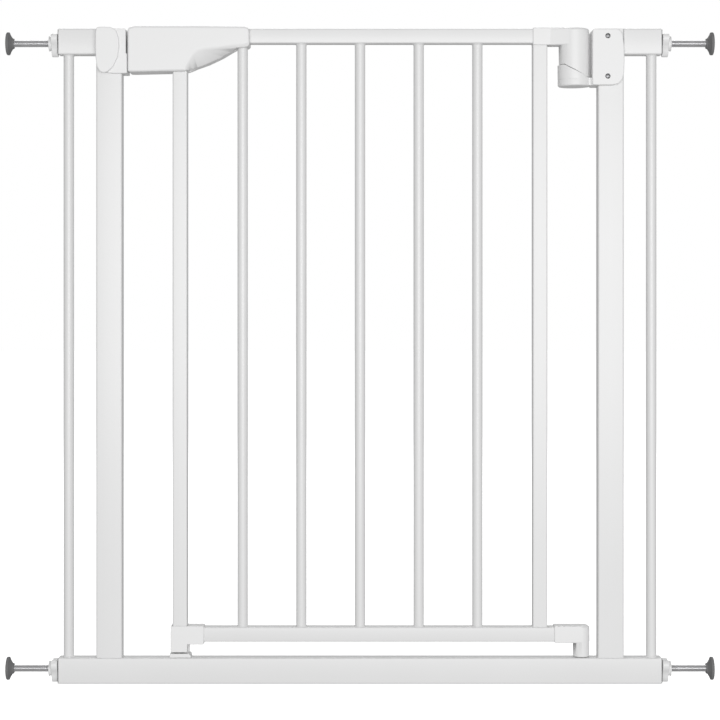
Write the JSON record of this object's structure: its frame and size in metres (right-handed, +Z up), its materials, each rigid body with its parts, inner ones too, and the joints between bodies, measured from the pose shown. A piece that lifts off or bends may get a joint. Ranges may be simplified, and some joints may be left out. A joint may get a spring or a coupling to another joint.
{
  "type": "safety baby gate",
  "caption": "Pressure-fitted safety gate: tube frame on screw spindles with wall pads, self-closing barred door on a rising cam hinge, slide-bolt handle.",
  "frame": {"origin": "on the floor under the middle of the gate", "axes": "+X to the gate's right as seen from the room side, +Y away from the room side through the gate, +Z up"},
  "size_m": [0.822, 0.0386, 0.7619],
  "materials": {
    "painted_tube": "satin",
    "white_plastic": "semi-gloss",
    "dark_plastic": "matte",
    "pad_rubber": "matte",
    "spindle_steel": "zinc plated",
    "pin_steel": "zinc plated",
    "sleeve_plastic": "matte",
    "bolt_plastic": "matte"
  },
  "bodies": {
    "frame": {"bottom_rail": "painted_tube", "left_post": "painted_tube", "right_post": "painted_tube", "left_top_stub": "painted_tube", "right_top_stub": "painted_tube", "left_outer_bar": "painted_tube", "right_outer_bar": "painted_tube", "left_post_plug": "white_plastic", "right_post_plug": "white_plastic", "latch_housing": "white_plastic", "latch_cap_front": "white_plastic", "latch_cap_back": "white_plastic", "bottom_catch": "white_plastic", "hinge_bracket": "white_plastic", "left_low_end_plug": "dark_plastic", "left_top_end_plug": "dark_plastic", "right_low_end_plug": "dark_plastic", "right_top_end_plug": "dark_plastic", "top_hinge_pin": "pin_steel", "bottom_hinge_pin": "pin_steel", "hinge_screw_upper": "pin_steel", "hinge_screw_lower": "pin_steel", "catch_screw": "pin_steel", "bottom_hinge_bush": "sleeve_plastic"},
    "hinge_sleeves": {"top_hinge_sleeve": "sleeve_plastic", "bottom_hinge_sleeve": "sleeve_plastic"},
    "door": {"door_top_rail": "painted_tube", "door_bottom_rail": "painted_tube", "door_left_stile": "painted_tube", "door_right_stile": "painted_tube", "door_bar_1": "painted_tube", "door_bar_2": "painted_tube", "door_bar_3": "painted_tube", "door_bar_4": "painted_tube", "door_bar_5": "painted_tube", "hinge_arm": "white_plastic", "lower_hinge_elbow": "white_plastic", "corner_cap": "white_plastic", "handle_front_shell": "white_plastic", "handle_back_shell": "white_plastic", "handle_screw_1": "pin_steel", "handle_screw_2": "pin_steel"},
    "release": {"thumb_slider": "white_plastic", "latch_bolt": "bolt_plastic", "release_spring": "pin_steel"},
    "left_low_nut": {"left_low_hand_nut": "white_plastic"},
    "left_low_screw": {"left_low_spindle": "spindle_steel", "left_low_wall_pad": "pad_rubber"},
    "left_top_nut": {"left_top_hand_nut": "white_plastic"},
    "left_top_screw": {"left_top_spindle": "spindle_steel", "left_top_wall_pad": "pad_rubber"},
    "right_low_nut": {"right_low_hand_nut": "white_plastic"},
    "right_low_screw": {"right_low_spindle": "spindle_steel", "right_low_wall_pad": "pad_rubber"},
    "right_top_nut": {"right_top_hand_nut": "white_plastic"},
    "right_top_screw": {"right_top_spindle": "spindle_steel", "right_top_wall_pad": "pad_rubber"}
  },
  "joints": [
    {"name": "door_rise", "type": "slide", "parent": "frame", "child": "hinge_sleeves", "axis": [-0.0118, 0, 0.9999], "range_m": [0, 0.0151]},
    {"name": "door_swing", "type": "hinge", "parent": "hinge_sleeves", "child": "door", "pos_m": [0.2574, 0, 0.031], "axis": [-0.0118, 0, 0.9999], "range_deg": [0, 90]},
    {"name": "bolt_slide", "type": "slide", "parent": "door", "child": "release", "axis": [1, 0, 0], "range_m": [-0.0105, 0], "stiffness_N_per_m": 400, "springref_m": -0.0125, "deforming": ["release_spring"]},
    {"name": "left_low_nut_spin", "type": "hinge", "parent": "frame", "child": "left_low_nut", "pos_m": [-0.356, 0, 0.0165], "axis": [1, 0, 0], "range_deg": [-10090, 3466]},
    {"name": "left_low_screw_slide", "type": "slide", "parent": "frame", "child": "left_low_screw", "axis": [-1, 0, 0], "range_m": [-0.035, 0.012]},
    {"name": "left_top_nut_spin", "type": "hinge", "parent": "frame", "child": "left_top_nut", "pos_m": [-0.356, 0, 0.7435], "axis": [1, 0, 0], "range_deg": [-10090, 3466]},
    {"name": "left_top_screw_slide", "type": "slide", "parent": "frame", "child": "left_top_screw", "axis": [-1, 0, 0], "range_m": [-0.035, 0.012]},
    {"name": "right_low_nut_spin", "type": "hinge", "parent": "frame", "child": "right_low_nut", "pos_m": [0.356, 0, 0.0165], "axis": [-1, 0, 0], "range_deg": [-10090, 3466]},
    {"name": "right_low_screw_slide", "type": "slide", "parent": "frame", "child": "right_low_screw", "axis": [1, 0, 0], "range_m": [-0.035, 0.012]},
    {"name": "right_top_nut_spin", "type": "hinge", "parent": "frame", "child": "right_top_nut", "pos_m": [0.356, 0, 0.7435], "axis": [-1, 0, 0], "range_deg": [-10090, 3466]},
    {"name": "right_top_screw_slide", "type": "slide", "parent": "frame", "child": "right_top_screw", "axis": [1, 0, 0], "range_m": [-0.035, 0.012]}
  ],
  "couplings": [
    {"joint": "door_rise", "follows": "door_swing", "m_per_rad": 0.0095493},
    {"joint": "left_low_nut_spin", "follows": "left_low_screw_slide", "rad_per_m": 5026.5},
    {"joint": "left_top_nut_spin", "follows": "left_top_screw_slide", "rad_per_m": 5026.5},
    {"joint": "right_low_nut_spin", "follows": "right_low_screw_slide", "rad_per_m": 5026.5},
    {"joint": "right_top_nut_spin", "follows": "right_top_screw_slide", "rad_per_m": 5026.5}
  ]
}
